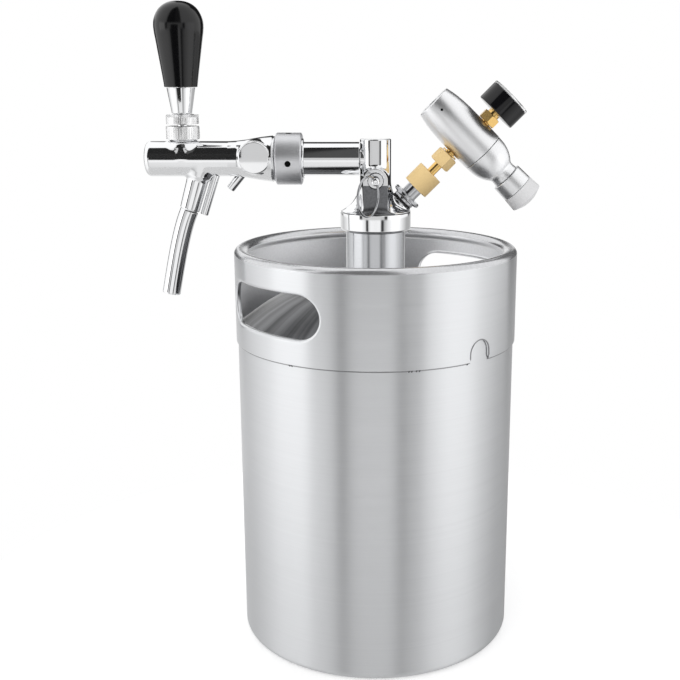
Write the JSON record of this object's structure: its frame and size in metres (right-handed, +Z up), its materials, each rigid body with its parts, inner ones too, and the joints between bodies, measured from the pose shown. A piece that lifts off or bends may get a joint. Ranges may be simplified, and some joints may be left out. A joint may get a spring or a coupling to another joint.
{
  "type": "mini keg beer dispenser",
  "caption": "Small steel keg with a handle ring, a chrome draught tap on its neck, and a gas regulator with pressure gauge and knob on the tap's side port.",
  "frame": {"origin": "centre of the keg's flat base", "axes": "+Z up along the keg's axis, -X along the faucet's arm to the spout, +X towards the gas regulator, -Y towards the person who pours and the relief valve"},
  "size_m": [0.2476, 0.18, 0.4074],
  "materials": {
    "keg_steel": "satin, brushed round",
    "spun_steel": "spun satin",
    "chrome": "mirror polished",
    "satin_nickel": "satin plated",
    "plated_steel": "plated",
    "spring_steel": "bright",
    "satin_aluminium": "satin",
    "frosted_aluminium": "fine blasted",
    "pale_brass": "satin",
    "gold_brass": "bright",
    "handle_black": "high gloss",
    "case_black": "semi gloss",
    "seal_rubber": "matt",
    "white_nylon": "matt",
    "dial_white": "matt",
    "pointer_red": "matt",
    "lens_clear": "clear"
  },
  "bodies": {
    "keg": {"keg_shell": "keg_steel", "keg_dome": "spun_steel", "keg_neck": "spun_steel", "handle_ring": "keg_steel"},
    "head": {"tap_head": "chrome", "retaining_ring": "spring_steel", "neck_gasket": "seal_rubber", "dip_tube": "spun_steel", "dip_tube_seal": "seal_rubber", "arm_tube": "chrome", "arm_ring": "chrome", "coupling_nut": "satin_nickel", "coupling_washer": "white_nylon", "faucet_body": "chrome", "lever_seat": "white_nylon", "lever_washer": "white_nylon", "bonnet_nut": "chrome", "flow_cap": "chrome", "spout_tube": "chrome", "vent_tube": "chrome", "relief_plug": "plated_steel", "relief_spring": "spring_steel", "gas_ring": "seal_rubber", "gas_post": "plated_steel", "gas_lock_nut": "plated_steel", "gas_coupler": "pale_brass", "gas_stem": "gold_brass"},
    "collar": {"union_collar": "chrome"},
    "lever": {"lever_stem": "plated_steel", "handle_lock_ring": "chrome", "handle_ferrule": "chrome", "tap_handle": "handle_black"},
    "shuttle": {"shuttle": "white_nylon", "shuttle_seal": "seal_rubber"},
    "flow_control": {"flow_barrel": "plated_steel", "flow_lever": "chrome"},
    "relief": {"relief_stem": "chrome", "relief_seal": "seal_rubber"},
    "pull_ring": {"pull_ring": "chrome"},
    "nut": {"swivel_nut": "pale_brass"},
    "regulator": {"outlet_collar": "gold_brass", "regulator_barrel": "satin_aluminium", "cartridge_seal": "seal_rubber", "piercing_pin": "plated_steel", "regulator_cap": "satin_aluminium", "main_spring": "spring_steel", "gauge_stem": "gold_brass", "gauge_case": "case_black", "gauge_lens": "lens_clear", "gauge_dial": "dial_white", "pressure_tube": "gold_brass"},
    "knob": {"knob_collar": "chrome", "knob_grip": "frosted_aluminium"},
    "screw": {"adjusting_screw": "plated_steel", "spring_button": "gold_brass"},
    "piston": {"regulator_piston": "gold_brass", "piston_seal": "seal_rubber"},
    "pointer": {"gauge_pointer": "pointer_red"}
  },
  "joints": [
    {"name": "head_lift", "type": "slide", "parent": "keg", "child": "head", "axis": [0, 0, 1], "range_m": [0, 0.27]},
    {"name": "collar_turn", "type": "hinge", "parent": "head", "child": "collar", "pos_m": [0, 0, 0.273], "axis": [0, 0, 1], "continuous": true},
    {"name": "lever_tilt", "type": "hinge", "parent": "head", "child": "lever", "pos_m": [-0.1203, 0, 0.328], "axis": [0, -1, 0], "range_deg": [0, 30]},
    {"name": "shuttle_slide", "type": "slide", "parent": "head", "child": "shuttle", "axis": [1, 0, 0], "range_m": [0, 0.0062]},
    {"name": "flow_turn", "type": "hinge", "parent": "head", "child": "flow_control", "pos_m": [-0.0749, 0, 0.314], "axis": [0, -1, 0], "range_deg": [0, 50]},
    {"name": "relief_pull", "type": "slide", "parent": "head", "child": "relief", "axis": [0, -1, 0], "range_m": [0, 0.002], "stiffness_N_per_m": 300, "deforming": ["relief_spring"]},
    {"name": "ring_swing", "type": "hinge", "parent": "relief", "child": "pull_ring", "pos_m": [0, -0.0225, 0.3003], "axis": [-0.3604, -0.5997, 0.7145], "range_deg": [0, 80]},
    {"name": "nut_turn", "type": "hinge", "parent": "head", "child": "nut", "pos_m": [0.04271, 0, 0.31201], "axis": [0.7071, 0, 0.7071], "continuous": true},
    {"name": "regulator_swivel", "type": "hinge", "parent": "head", "child": "regulator", "pos_m": [0.05706, 0, 0.32636], "axis": [0.7071, 0, 0.7071], "continuous": true},
    {"name": "knob_turn", "type": "hinge", "parent": "regulator", "child": "knob", "pos_m": [0.05706, 0, 0.32636], "axis": [0.7071, 0, -0.7071], "range_deg": [0, 720]},
    {"name": "screw_advance", "type": "slide", "parent": "regulator", "child": "screw", "axis": [-0.7071, 0, 0.7071], "range_m": [0, 0.0032], "deforming": ["main_spring"]},
    {"name": "piston_slide", "type": "slide", "parent": "regulator", "child": "piston", "axis": [-0.7071, 0, 0.7071], "range_m": [0, 0.0007], "stiffness_N_per_m": 400},
    {"name": "pointer_turn", "type": "hinge", "parent": "regulator", "child": "pointer", "pos_m": [0.05848, 0, 0.32495], "axis": [-0.7071, 0, -0.7071], "range_deg": [0, 270], "stiffness_Nm_per_rad": 0.0001}
  ],
  "couplings": [
    {"joint": "shuttle_slide", "follows": "lever_tilt", "m_per_rad": 0.0115},
    {"joint": "screw_advance", "follows": "knob_turn", "m_per_rad": 0.00024}
  ]
}
